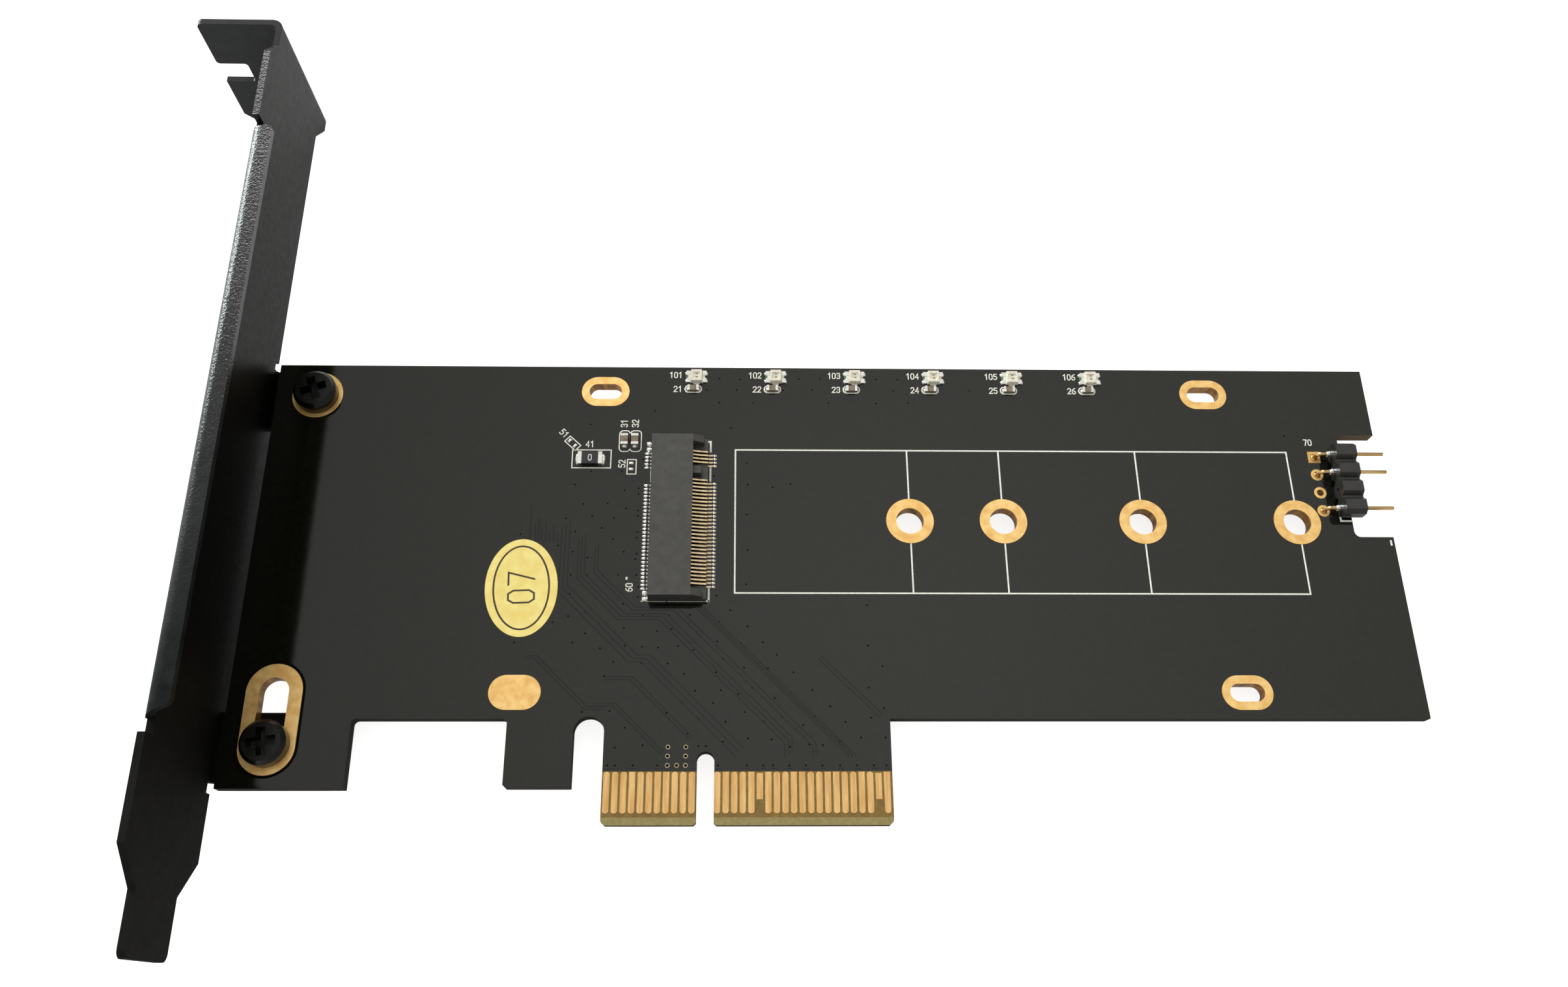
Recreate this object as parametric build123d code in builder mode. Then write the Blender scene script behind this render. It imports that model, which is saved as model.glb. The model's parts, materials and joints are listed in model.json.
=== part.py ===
"""PCI Express x4 adapter card for one M.2 drive, with its bracket. Millimetres, +Z up.

The origin is the centre of the key notch, on the lower edge of the contact tongue, half way
through the board. +X points away from the bracket and +Y up the card, from the contacts to
the LEDs. The parts stand on the +Z face of the board.
"""
from build123d import *
import os

os.makedirs("parts", exist_ok=True)

# Board
board_thickness = 1.6
board_left = -57.05
board_right = 87.9
board_low = 12.5
board_high = 60.15
left_leg_width = 14.95
left_leg_low = 4.25
middle_leg_left = -23.65
middle_leg_width = 7.92
middle_leg_low = 4.35
leg_gap_fillet = 0.6
leg_chamfer = 0.3

# Contact tongue
contact_pitch = 1.0
contacts_left = 11
contacts_right = 21
first_contact = 1.5
contact_width = 0.74
contact_clip = 0.2
contact_low = 1.32
contact_high = 6.15
short_contact_low = 2.93
short_contact_high = 6.0
short_contacts = (5, 19)
square_contacts_left = (3, 4, 7)
square_contacts_right = (1, 4, 6, 9, 10, 13, 14, 17, 20)
tongue_margin_left = 0.55
tongue_margin_right = 0.66
tongue_clip = 0.45
bevel_height = 0.85
bevel_depth = 0.3
key_left = -0.98
key_width = 2.1
key_height = 8.55
key_clip = 0.3
slot_height = 12.75

# Plating on the board's faces and in its holes
plating = 0.05
ring_clearance = 0.1
ring_sides = 16
small_ring_sides = 12
pin_hole_sides = 8

# Drive and its holes
module_edge = -4.25
module_centre = 38.1
module_lengths = (30, 42, 60, 80)
module_hole_radius = 1.8
module_ring_radius = 3.05

# Heat sink slots
sink_slot_length = 4.35
sink_slot_width = 2.3
sink_ring_length = 6.3
sink_ring_width = 4.3
sink_slot_drop = 3.7
sink_slot_left = -13.85
sink_slot_right = 65.95
sink_slot_low = 15.7
ground_pad_centre = (-23.0, 15.7)

# Bracket screws and their pads
screw_inset = 5.4
top_screw_drop = 4.45
bottom_screw_height = 9.4
screw_radius = 1.5
screw_hole_radius = 1.8
screw_length = 4.0
screw_head_radius = 2.75
screw_head_height = 2.0
screw_head_wall = 1.4
screw_crown_radius = 2.3
shank_sides = 16
thread_clearance = 0.02
recess_length = 3.0
recess_width = 0.75
recess_depth = 1.3
recess_taper = 8
screw_turns = (20, 8)
top_pad_radius = 3.3
bottom_slot_centre = 12.47
bottom_slot_length = 10.2
bottom_slot_width = 3.6
bottom_pad_length = 13.45
bottom_pad_width = 6.75

# Bracket
sheet = 0.86
bracket_gap = 1.0
bracket_width = 18.42
bracket_end = -15.0
bracket_top = 105.12
bend_inner = 0.64
bend_run = 0.2
ear_reach = 10.89
ear_width = 19.05
ear_high = 15.45
ear_fillet = 0.8
ear_chamfer = 1.1
ear_slot_low = 4.4
ear_slot_width = 3.5
ear_slot_depth = 4.2
ear_slot_fillet = 0.5
wing_step_low = 98.9
wing_step_high = 102.1
shoulder_low = 97.9
shoulder_high = 100.6
lip_low = 9.0
lip_high = 85.75
lip_reach = 1.95
lip_slant = 1.4
lip_fillet = 0.6
lip_relief = 1.7
tongue_taper_high = -4.05
bracket_tongue_width = 10.19
bracket_tongue_fillet = 1.0
tab_width = 8.4
tab_reach = 10.55
tab_relief = 1.3
tab_relief_depth = 1.0

# M.2 socket
socket_left = -7.3
socket_front = -0.13
socket_height = 2.75
cover_front = -2.0
cover_thickness = 0.5
arm_front = -0.64
arm_width = 0.95
arm_drop = 0.7
channel_back = 0.6
jaw_height = 1.05
cavity_back = -5.8
socket_pitch = 0.5
channel_width = 0.3
strip_width = 0.2
strip_thickness = 0.13
lower_tail_reach = 1.08
lower_riser_inset = 0.14
beam_lift = 0.1
beam_knee = 0.9
beam_knee_rise = 0.12
beam_rise = 0.7
beam_tip = 1.4
upper_tail_reach = 1.0
upper_riser_inset = 0.5
row_places = 38
socket_margin = 1.65
lower_row = tuple(range(0, 29)) + tuple(range(33, 37))
upper_row = tuple(range(0, 29)) + tuple(range(33, 38))
drive_key_offset = 6.125
key_post_width = 1.0
key_post_front = -0.95
hold_down_reach = 0.8
hold_down_width = 0.55
hold_down_insets = (0.28, 1.08)

# LEDs and their capacitors
led_count = 6
led_pitch = 10.55
first_led = -1.85
led_drop = 1.5
led_length = 2.65
led_width = 1.7
led_base_height = 0.3
led_body_length = 1.5
led_body_height = 0.8
led_window = 0.9
led_window_depth = 0.1
led_notch_radius = 0.25
led_notch_sides = 8
led_taper = 5
terminal_length = 0.5
terminal_width = 0.6
capacitor_pitch = 10.53
first_capacitor = -2.27
capacitor_drop = 3.3
capacitor_length = 1.45
capacitor_width = 0.75
capacitor_height = 0.65
capacitor_cap = 0.3

# Chips beside the socket
input_capacitor_places = ((-11.07, 49.2), (-9.7, 49.2))
input_capacitor_length = 1.55
input_capacitor_width = 0.88
input_capacitor_height = 0.8
input_capacitor_cap = 0.35
link_place = (-15.42, 46.6)
link_length = 3.15
link_width = 1.65
link_height = 0.55
link_cap = 0.5
cap_skin = 0.03

# Pin header
header_pad_x = 79.43
header_centre = 43.49
header_pitch = 2.54
header_places = 4
empty_header_places = (2,)
header_pad_size = 1.6
header_hole_radius = 0.48
header_body_start = 1.88
header_body_length = 2.7
header_body_height = 2.5
header_body_chamfer = 0.62
header_body_neck = 0.12
pin_radius = 0.26
pin_sides = 8
pin_drop = 0.2
pin_tail = 1.2
pin_tip = 88.05
pin_bend = 0.7
collar_length = 0.6
collar_radius = 0.4
solder_height = 0.7
solder_taper = 28
solder_margin = 0.1
header_cut_depth = 4.95
header_cut_low = 36.1
header_cut_high = 50.55
header_cut_fillet = 0.8
header_cut_fillet_high = 0.25

# Pads of parts that are not fitted, and the label
diagonal_pads = ((-18.2, 49.25), (-17.5, 48.5))
upright_pads = ((-10.1, 46.05), (-10.1, 45.2))
small_pad_length = 0.55
small_pad_width = 0.32
diagonal_turn = 47
sticker_centre = (-23.1, 29.0)
sticker_width = 9.0
sticker_height = 12.8
sticker_turn = 2.5
sticker_thickness = 0.1

# How near to a place an edge is picked, and a quarter turn in degrees
pick_reach = 0.1
quarter_turn = 90

# Worked out from the sizes above
board_top = board_thickness / 2
board_bottom = -board_thickness / 2
tongue_left = -first_contact - (contacts_left - 1) * contact_pitch - tongue_margin_left
tongue_right = first_contact + (contacts_right - 1) * contact_pitch + tongue_margin_right
screw_x = board_left + screw_inset
top_screw_y = board_high - top_screw_drop
bend_outer = bend_inner + sheet
fold = bend_outer + bend_run
plate_inner = board_left - bracket_gap
plate_outer = plate_inner - sheet
bracket_low = board_bottom - plating
bracket_high = bracket_low + bracket_width
ear_low = ear_high - ear_width
ear_tip = plate_outer - ear_reach
seat = board_top + plating
header_first = header_centre + (header_places - 1) * header_pitch / 2
header_ys = [header_first - place * header_pitch for place in range(header_places)]
pinned_places = [place for place in range(header_places) if place not in empty_header_places]
header_cut = board_right - header_cut_depth
body_left = header_pad_x + header_body_start
body_middle = board_top + header_body_height / 2
pin_height = body_middle - pin_drop
socket_top = board_top + socket_height
jaw_top = board_top + jaw_height
cover_under = socket_top - cover_thickness
upper_row_start = module_centre - (row_places - 1) * socket_pitch / 2
lower_row_start = upper_row_start + socket_pitch / 2
socket_length = (row_places - 1) * socket_pitch + 2 * socket_margin
socket_low = module_centre - socket_length / 2
socket_high = module_centre + socket_length / 2


def bar(x0, x1, y0, y1, mode=Mode.ADD):
    """Draw a rectangle between two x and two y values of the sketch."""
    with Locations(((x0 + x1) / 2, (y0 + y1) / 2)):
        Rectangle(x1 - x0, y1 - y0, mode=mode)


def many_sided_slot(length, width, mode=Mode.ADD):
    """Draw a slot with many-sided ends, or a many-sided ring where it is as wide as it is long."""
    reach = (length - width) / 2
    with Locations(*[(x, 0) for x in {reach, -reach}]):
        RegularPolygon(width / 2, ring_sides, mode=mode)
    if reach > 0:
        Rectangle(2 * reach, width, mode=mode)


def round_corner(x, y, radius):
    """Round the corner of the sketch that lies nearest to a point."""
    fillet(vertices().sort_by_distance(Vector(x, y))[0], radius=radius)


def upright_edges(part, x0, x1):
    """The upright edges from one x value to another, in order of y."""
    return part.edges().filter_by(Axis.Z).filter_by_position(
        Axis.X, x0 - pick_reach, x1 + pick_reach).sort_by(Axis.Y)


def save(part, name):
    """Label a finished piece and write its file."""
    part.label = name
    export_step(part, f"parts/{name}.step")


# Board, with its legs, notches and holes
gap_left = board_left + left_leg_width
middle_leg_right = middle_leg_left + middle_leg_width
slot_radius = (tongue_left - middle_leg_right) / 2
with BuildPart() as pcb:
    with BuildSketch(Plane.XY.offset(board_bottom)):
        bar(board_left, board_right, board_low, board_high)
        bar(board_left, gap_left, left_leg_low, board_low)
        bar(middle_leg_left, tongue_left, middle_leg_low, board_low)
        bar(tongue_left, tongue_right, 0, board_low)
        bar(middle_leg_right, tongue_left, 0, slot_height - slot_radius, mode=Mode.SUBTRACT)
        with Locations((tongue_left - slot_radius, slot_height - slot_radius)):
            Circle(slot_radius, mode=Mode.SUBTRACT)
        bar(key_left, key_left + key_width, 0, key_height - key_width / 2, mode=Mode.SUBTRACT)
        with Locations((key_left + key_width / 2, key_height - key_width / 2)):
            Circle(key_width / 2, mode=Mode.SUBTRACT)
        bar(header_cut, board_right, header_cut_low, header_cut_high, mode=Mode.SUBTRACT)
    extrude(amount=board_thickness)
    chamfer([upright_edges(pcb, x, x)[0] for x in (tongue_left, tongue_right)], length=tongue_clip)
    chamfer(upright_edges(pcb, key_left, key_left + key_width)[:2], length=key_clip)
    chamfer(upright_edges(pcb, middle_leg_left, middle_leg_left)[0], length=leg_chamfer)
    fillet(upright_edges(pcb, gap_left, middle_leg_left)[-2:], radius=leg_gap_fillet)
    cut_corners = upright_edges(pcb, header_cut, header_cut)
    fillet(cut_corners[0], radius=header_cut_fillet)
    fillet(cut_corners[-1], radius=header_cut_fillet_high)
    with BuildSketch(Plane.YZ.offset(tongue_left)):
        for side in (1, -1):
            with BuildLine():
                Polyline((0, side * board_top), (bevel_height, side * board_top),
                         (0, side * (board_top - bevel_depth)), close=True)
            make_face()
    extrude(amount=tongue_right - tongue_left, mode=Mode.SUBTRACT)
    with BuildSketch(Plane.XY.offset(board_bottom)):
        with Locations(*[(module_edge + length, module_centre) for length in module_lengths]):
            Circle(module_hole_radius)
        with Locations((sink_slot_left, board_high - sink_slot_drop),
                       (sink_slot_right, board_high - sink_slot_drop),
                       (sink_slot_right, sink_slot_low)):
            SlotOverall(sink_slot_length, sink_slot_width)
        with Locations((screw_x, top_screw_y)):
            many_sided_slot(2 * screw_hole_radius, 2 * screw_hole_radius)
        with Locations(Location((screw_x, bottom_slot_centre), quarter_turn)):
            SlotOverall(bottom_slot_length, bottom_slot_width)
        with Locations(*[(header_pad_x, y) for y in header_ys]):
            RegularPolygon(header_hole_radius + plating, pin_hole_sides)
    extrude(amount=board_thickness, mode=Mode.SUBTRACT)
save(pcb.part, "pcb")


# Gold contacts on both faces of the tongue
def contact_xs(side, count, numbers):
    """Centres of the contacts with the given numbers, counted from the key notch."""
    return [side * (first_contact + number * contact_pitch) for number in range(count)
            if number in numbers]


square_xs = contact_xs(-1, contacts_left, square_contacts_left)
square_xs += contact_xs(1, contacts_right, square_contacts_right)
short_xs = contact_xs(1, contacts_right, short_contacts)
round_xs = contact_xs(-1, contacts_left, set(range(contacts_left)) - set(square_contacts_left))
round_xs += contact_xs(1, contacts_right, set(range(contacts_right))
                       - set(square_contacts_right) - set(short_contacts))


def contact_field(face_z, clip, name):
    """One row of contacts, with its lower face at the given height and its corners clipped or not."""
    half = contact_width / 2
    with BuildPart() as field:
        with BuildSketch(Plane.XY.offset(face_z)):
            for x in round_xs:
                bar(x - half, x + half, contact_low, contact_high)
            if clip:
                chamfer(vertices().group_by(Axis.Y)[-1], length=clip)
            for x in square_xs:
                bar(x - half, x + half, contact_low, contact_high)
            if clip:
                chamfer(vertices().group_by(Axis.Y)[0], length=clip)
            for x in short_xs:
                bar(x - half, x + half, short_contact_low, short_contact_high)
        extrude(amount=plating)
    save(field.part, name)


contact_field(board_top, contact_clip, "edge_contacts_front")
contact_field(board_bottom - plating, 0, "edge_contacts_rear")


# Gold rings on both faces round each hole
def face_rings(centre, pad, hole, name, turn=0):
    """Pad and hole are (length, width) of round-ended slots."""
    with BuildPart() as ring:
        for low in (board_bottom - plating, board_top):
            with BuildSketch(Plane.XY.offset(low)):
                with Locations(Location(centre, turn)):
                    many_sided_slot(*pad)
                    many_sided_slot(hole[0] + ring_clearance, hole[1] + ring_clearance,
                                    mode=Mode.SUBTRACT)
            extrude(amount=plating)
    save(ring.part, name)


for length in module_lengths:
    face_rings((module_edge + length, module_centre), (2 * module_ring_radius,) * 2,
                (2 * module_hole_radius,) * 2, f"m2_hole_ring_{length}")
for place, name in (((sink_slot_left, board_high - sink_slot_drop), "left"),
                    ((sink_slot_right, board_high - sink_slot_drop), "top"),
                    ((sink_slot_right, sink_slot_low), "bottom")):
    face_rings(place, (sink_ring_length, sink_ring_width), (sink_slot_length, sink_slot_width),
                f"heatsink_slot_ring_{name}")
face_rings((screw_x, top_screw_y), (2 * top_pad_radius,) * 2, (2 * screw_hole_radius,) * 2,
            "bracket_pad_top")
face_rings((screw_x, bottom_slot_centre), (bottom_pad_length, bottom_pad_width),
            (bottom_slot_length, bottom_slot_width), "bracket_pad_bottom", turn=quarter_turn)

with BuildPart() as ground_pad:
    with BuildSketch(Plane.XY.offset(board_top)):
        with Locations(ground_pad_centre):
            many_sided_slot(sink_ring_length, sink_ring_width)
    extrude(amount=plating)
save(ground_pad.part, "ground_pad")

# Header pads on both faces, joined by the lining of the hole: the first is square
with BuildPart() as header_pads:
    for low in (board_bottom - plating, board_top):
        with BuildSketch(Plane.XY.offset(low)):
            with Locations((header_pad_x, header_ys[0])):
                Rectangle(header_pad_size, header_pad_size)
            with Locations(*[(header_pad_x, y) for y in header_ys[1:]]):
                RegularPolygon(header_pad_size / 2, small_ring_sides)
            with Locations(*[(header_pad_x, y) for y in header_ys]):
                RegularPolygon(header_hole_radius, pin_hole_sides, mode=Mode.SUBTRACT)
        extrude(amount=plating)
    with BuildSketch(Plane.XY.offset(board_bottom)):
        with Locations(*[(header_pad_x, y) for y in header_ys]):
            RegularPolygon(header_hole_radius + plating, pin_hole_sides)
            RegularPolygon(header_hole_radius, pin_hole_sides, mode=Mode.SUBTRACT)
    extrude(amount=board_thickness)
save(header_pads.part, "header_pads")

# Bracket: lip first, then the plate, the ear and the two board tabs
fold_high = bracket_high - fold
fold_low = bracket_low - sheet + fold
tab_lows = (top_screw_y - tab_width / 2, bottom_screw_height - tab_width / 2)
with BuildPart() as bracket:
    with BuildSketch(Plane.XZ.offset(-lip_high)):
        bar(plate_outer, plate_inner, fold_high, bracket_high)
        bar(plate_outer, plate_inner + lip_reach, bracket_high - sheet, bracket_high)
        round_corner(plate_outer, bracket_high, bend_outer)
        round_corner(plate_inner, bracket_high - sheet, bend_inner)
    extrude(amount=lip_high - lip_low)
    with BuildSketch(Plane.XY.offset(fold_high)):
        with BuildLine():
            Polyline((plate_outer, lip_low), (plate_inner + lip_reach, lip_low + lip_slant),
                     (plate_inner + lip_reach, lip_high), (plate_outer, lip_high), close=True)
        make_face()
        fillet(vertices().group_by(Axis.X)[-1], radius=lip_fillet)
    extrude(amount=fold, mode=Mode.INTERSECT)
    with BuildSketch(Plane.YZ.offset(plate_outer)):
        bar(tongue_taper_high, bracket_top - fold, bracket_low, bracket_high)
        bar(min(tab_lows) + tab_width, max(tab_lows), bracket_low - sheet, bracket_low)
        bar(lip_low - lip_relief, lip_high + lip_relief, fold_high, bracket_high, mode=Mode.SUBTRACT)
        with BuildLine():
            Polyline((wing_step_low, bracket_low), (wing_step_high, ear_low),
                     (bracket_top - fold, ear_low), (bracket_top - fold, bracket_low),
                     close=True)
        make_face()
        with BuildLine():
            Polyline((shoulder_low, bracket_high), (shoulder_high, ear_high),
                     (bracket_top, ear_high), (bracket_top, bracket_high), close=True)
        make_face(mode=Mode.SUBTRACT)
        tongue_low = (bracket_low + bracket_high - bracket_tongue_width) / 2
        tongue_high = tongue_low + bracket_tongue_width
        taper = tongue_low - bracket_low
        with BuildLine():
            Polyline((tongue_taper_high, bracket_low), (tongue_taper_high - taper, tongue_low),
                     (bracket_end, tongue_low), (bracket_end, tongue_high),
                     (tongue_taper_high - taper, tongue_high), (tongue_taper_high, bracket_high),
                     close=True)
        make_face()
        fillet(vertices().group_by(Axis.X)[0], radius=bracket_tongue_fillet)
        for low in (min(tab_lows) - tab_relief, max(tab_lows) + tab_width):
            bar(low, low + tab_relief, bracket_low, bracket_low + tab_relief_depth,
                mode=Mode.SUBTRACT)
        for tab_low in tab_lows:
            bar(tab_low, tab_low + tab_width, bracket_low, fold_low, mode=Mode.SUBTRACT)
    extrude(amount=sheet)
    with BuildSketch(Plane.XY.offset(ear_low)):
        bar(plate_outer, plate_inner, bracket_top - fold, bracket_top)
        bar(ear_tip, plate_inner, bracket_top - sheet, bracket_top)
        round_corner(plate_inner, bracket_top, bend_outer)
        round_corner(plate_outer, bracket_top - sheet, bend_inner)
    extrude(amount=ear_width)
    with BuildSketch(Plane.XZ.offset(-bracket_top)):
        with Locations((ear_tip, ear_slot_low + ear_slot_width / 2)):
            RectangleRounded(2 * ear_slot_depth, ear_slot_width, ear_slot_fillet)
    extrude(amount=2 * sheet, mode=Mode.SUBTRACT)
    ear_edges = bracket.edges().filter_by(Axis.Y).group_by(Axis.X)[0].sort_by(Axis.Z)
    chamfer(ear_edges[0], length=ear_chamfer)
    ear_edges = bracket.edges().filter_by(Axis.Y).group_by(Axis.X)[0].sort_by(Axis.Z)
    fillet(ear_edges[-1], radius=ear_fillet)
    ear_edges = bracket.edges().filter_by(Axis.Y).group_by(Axis.X)[0].sort_by(Axis.Z)
    fillet(ear_edges[-2:], radius=ear_slot_fillet)
    for tab_low in tab_lows:
        with BuildSketch(Plane.XZ.offset(-tab_low - tab_width)):
            bar(plate_outer, plate_inner, bracket_low - sheet, fold_low)
            bar(plate_outer, plate_inner + tab_reach, bracket_low - sheet, bracket_low)
            round_corner(plate_outer, bracket_low - sheet, bend_outer)
            round_corner(plate_inner, bracket_low, bend_inner)
        extrude(amount=tab_width)
    with BuildSketch(Plane.XY.offset(bracket_low - sheet)):
        with Locations((screw_x, top_screw_y), (screw_x, bottom_screw_height)):
            Circle(screw_radius + thread_clearance)
    extrude(amount=sheet, mode=Mode.SUBTRACT)
save(bracket.part, "bracket")


# Screws: domed head with a cross recess, and a plain shank
def bracket_screw(centre, turn, name):
    """The head sits on the plated pad, and the shank goes through the tab."""
    with BuildPart() as screw:
        with BuildSketch(Plane.XZ):
            with BuildLine():
                Polyline((0, screw_head_height), (0, 0), (screw_head_radius, 0),
                         (screw_head_radius, screw_head_wall),
                         (screw_crown_radius, screw_head_height), close=True)
            make_face()
        revolve(axis=Axis.Z)
        with BuildSketch():
            RegularPolygon(screw_radius, shank_sides)
        extrude(amount=-screw_length)
        with BuildSketch(Plane.XY.offset(screw_head_height - recess_depth)):
            Rectangle(recess_length, recess_width, rotation=turn)
            Rectangle(recess_width, recess_length, rotation=turn)
        extrude(amount=screw_head_height, taper=-recess_taper, mode=Mode.SUBTRACT)
    save(screw.part.moved(Location((*centre, seat))), name)


bracket_screw((screw_x, top_screw_y), screw_turns[0], "bracket_screw_top")
bracket_screw((screw_x, bottom_screw_height), screw_turns[1], "bracket_screw_bottom")

# M.2 socket: a moulded body open along its front, with a channel for each contact
lower_ys = [lower_row_start + socket_pitch * n for n in lower_row]
upper_ys = [upper_row_start + socket_pitch * n for n in upper_row]
key_y = module_centre + drive_key_offset
with BuildPart() as socket_housing:
    with BuildSketch(Plane.XZ.offset(-socket_high)):
        bar(socket_left, cover_front, board_top, socket_top)
        bar(cover_front, socket_front, board_top, jaw_top)
    extrude(amount=socket_length)
    for arm_high in (socket_low + arm_width, socket_high):
        with BuildSketch(Plane.XZ.offset(-arm_high)):
            with BuildLine():
                Polyline((cover_front, board_top), (arm_front, board_top),
                         (arm_front, socket_top - arm_drop), (cover_front, socket_top), close=True)
            make_face()
        extrude(amount=arm_width)
    with BuildSketch(Plane.XZ.offset(-socket_high + arm_width)):
        bar(cavity_back, cover_front, jaw_top, cover_under)
    extrude(amount=socket_length - 2 * arm_width, mode=Mode.SUBTRACT)
    with BuildSketch(Plane.XY.offset(jaw_top)):
        bar(cavity_back, key_post_front, key_y - key_post_width / 2, key_y + key_post_width / 2)
    extrude(amount=cover_under - jaw_top)
    with BuildSketch(Plane.XY.offset(board_top)):
        for y in lower_ys:
            bar(cover_front - channel_back, socket_front, y - channel_width / 2, y + channel_width / 2)
    extrude(amount=jaw_height, mode=Mode.SUBTRACT)
    with BuildSketch(Plane.XY.offset(board_top)):
        for y in upper_ys:
            bar(socket_left, cavity_back, y - channel_width / 2, y + channel_width / 2)
    extrude(amount=socket_height - cover_thickness, mode=Mode.SUBTRACT)
save(socket_housing.part, "m2_socket_housing")


# Contacts: foot and riser in the channel, then a beam along the card slot
def contact_row(path, side, ys, name):
    """Copies of one bent strip. The path runs from the foot to the tip, seen from the side."""
    with BuildPart() as strip:
        with BuildSketch(Plane.XZ.offset(-strip_width / 2)):
            with BuildLine():
                Polyline(*path)
                offset(amount=strip_thickness, side=side, kind=Kind.INTERSECTION)
            make_face()
        extrude(amount=strip_width)
    with BuildPart() as row:
        with Locations(*[(0, y, 0) for y in ys]):
            add(strip.part)
    save(row.part, name)


lower_path = ((socket_front + lower_tail_reach, board_top),
              (socket_front - lower_riser_inset, board_top),
              (socket_front - lower_riser_inset, jaw_top + beam_lift),
              (socket_front - beam_knee, jaw_top + beam_lift + beam_knee_rise),
              (cover_front - beam_tip, jaw_top + beam_lift + beam_rise))
contact_row(lower_path, Side.RIGHT, lower_ys, "m2_socket_lower_contacts")
upper_path = ((socket_left - upper_tail_reach, board_top),
              (socket_left + upper_riser_inset, board_top),
              (socket_left + upper_riser_inset, cover_under - strip_thickness),
              (cover_front - beam_tip, cover_under - strip_thickness))
contact_row(upper_path, Side.LEFT, upper_ys, "m2_socket_upper_contacts")

# Solder tabs behind the two ends of the socket
hold_down_ys = [socket_low + inset for inset in hold_down_insets]
hold_down_ys += [socket_high - inset for inset in hold_down_insets]
with BuildPart() as hold_downs:
    with BuildSketch(Plane.XZ.offset(-hold_down_width / 2)):
        bar(socket_left - hold_down_reach, socket_left, board_top, board_top + strip_thickness)
        bar(socket_left - strip_thickness, socket_left, board_top, jaw_top)
    extrude(amount=hold_down_width)
    tab = hold_downs.part
with BuildPart() as hold_down_row:
    with Locations(*[(0, y, 0) for y in hold_down_ys]):
        add(tab)
save(hold_down_row.part, "m2_socket_hold_downs")


# LEDs: a slab with a white body across its middle and a metal terminal at each corner
def led(centre, number):
    """The terminals wrap the slab's corners, with a round notch between each pair."""
    end = led_length / 2
    edge = led_width / 2
    with BuildPart() as package:
        with BuildSketch(Plane.XY.offset(board_top)):
            Rectangle(led_length, led_width)
            with Locations((end, 0), (-end, 0)):
                RegularPolygon(led_notch_radius, led_notch_sides, mode=Mode.SUBTRACT)
            for x in (-end + terminal_length / 2, end - terminal_length / 2):
                with Locations((x, edge - terminal_width / 2), (x, terminal_width / 2 - edge)):
                    Rectangle(terminal_length, terminal_width, mode=Mode.SUBTRACT)
        extrude(amount=led_base_height)
        with BuildSketch(Plane.XY.offset(board_top + led_base_height)):
            Rectangle(led_body_length, led_width)
        extrude(amount=led_body_height - led_base_height, taper=led_taper)
        with BuildSketch(Plane.XY.offset(board_top + led_body_height)):
            Rectangle(led_window, led_window)
        extrude(amount=-led_window_depth, mode=Mode.SUBTRACT)
    save(package.part.moved(Location((*centre, 0))), f"led_package_{number}")
    with BuildPart() as terminals:
        with BuildSketch(Plane.XY.offset(board_top)):
            for x in (-end + terminal_length / 2, end - terminal_length / 2):
                with Locations((x, edge - terminal_width / 2), (x, terminal_width / 2 - edge)):
                    Rectangle(terminal_length, terminal_width)
        extrude(amount=led_base_height + cap_skin)
    save(terminals.part.moved(Location((*centre, 0))), f"led_terminals_{number}")


# Chips: a ceramic block between two metal ends
def chip(centre, size, cap, name, turn=0):
    """Size is (length, width, height), and cap is the length of each metal end."""
    length, width, height = size
    with BuildPart() as block:
        with BuildSketch(Plane.XY.offset(board_top)):
            Rectangle(length - 2 * cap, width)
        extrude(amount=height)
    save(block.part.moved(Location((*centre, 0), (0, 0, turn))), name)
    with BuildPart() as caps:
        with BuildSketch(Plane.XY.offset(board_top)):
            with Locations((cap / 2 - length / 2, 0), (length / 2 - cap / 2, 0)):
                Rectangle(cap, width + 2 * cap_skin)
        extrude(amount=height + cap_skin)
    save(caps.part.moved(Location((*centre, 0), (0, 0, turn))), cap_name(name))


def cap_name(name):
    """The name of a chip's metal ends, such as led_capacitor_caps_1 for led_capacitor_1."""
    stem, _, number = name.rpartition("_")
    return f"{stem}_caps_{number}" if number.isdigit() else f"{name}_caps"


for number in range(led_count):
    led((first_led + number * led_pitch, board_high - led_drop), number + 1)
    chip((first_capacitor + number * capacitor_pitch, board_high - capacitor_drop),
         (capacitor_length, capacitor_width, capacitor_height), capacitor_cap,
         f"led_capacitor_{number + 1}")
for number, place in enumerate(input_capacitor_places, 1):
    chip(place, (input_capacitor_length, input_capacitor_width, input_capacitor_height),
         input_capacitor_cap, f"input_capacitor_{number}", turn=quarter_turn)
chip(link_place, (link_length, link_width, link_height), link_cap, "zero_ohm_link")

# Header body: four blocks in a row, with a neck between neighbours
with BuildPart() as header_body:
    with BuildSketch(Plane.YZ.offset(body_left)):
        for y in header_ys:
            with BuildLine():
                half = header_pitch / 2
                rise = header_body_height / 2
                cut = header_body_chamfer
                Polyline((y - half + header_body_neck, body_middle - rise + cut),
                         (y - half + cut, body_middle - rise), (y + half - cut, body_middle - rise),
                         (y + half - header_body_neck, body_middle - rise + cut),
                         (y + half - header_body_neck, body_middle + rise - cut),
                         (y + half - cut, body_middle + rise), (y - half + cut, body_middle + rise),
                         (y - half + header_body_neck, body_middle + rise - cut), close=True)
            make_face()
        bar(header_ys[-1], header_ys[0], body_middle - rise + cut, body_middle + rise - cut)
        with Locations(*[(y, pin_height) for y in header_ys]):
            RegularPolygon(pin_radius, pin_sides, mode=Mode.SUBTRACT)
    extrude(amount=header_body_length)
save(header_body.part, "pin_header_body")


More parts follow.
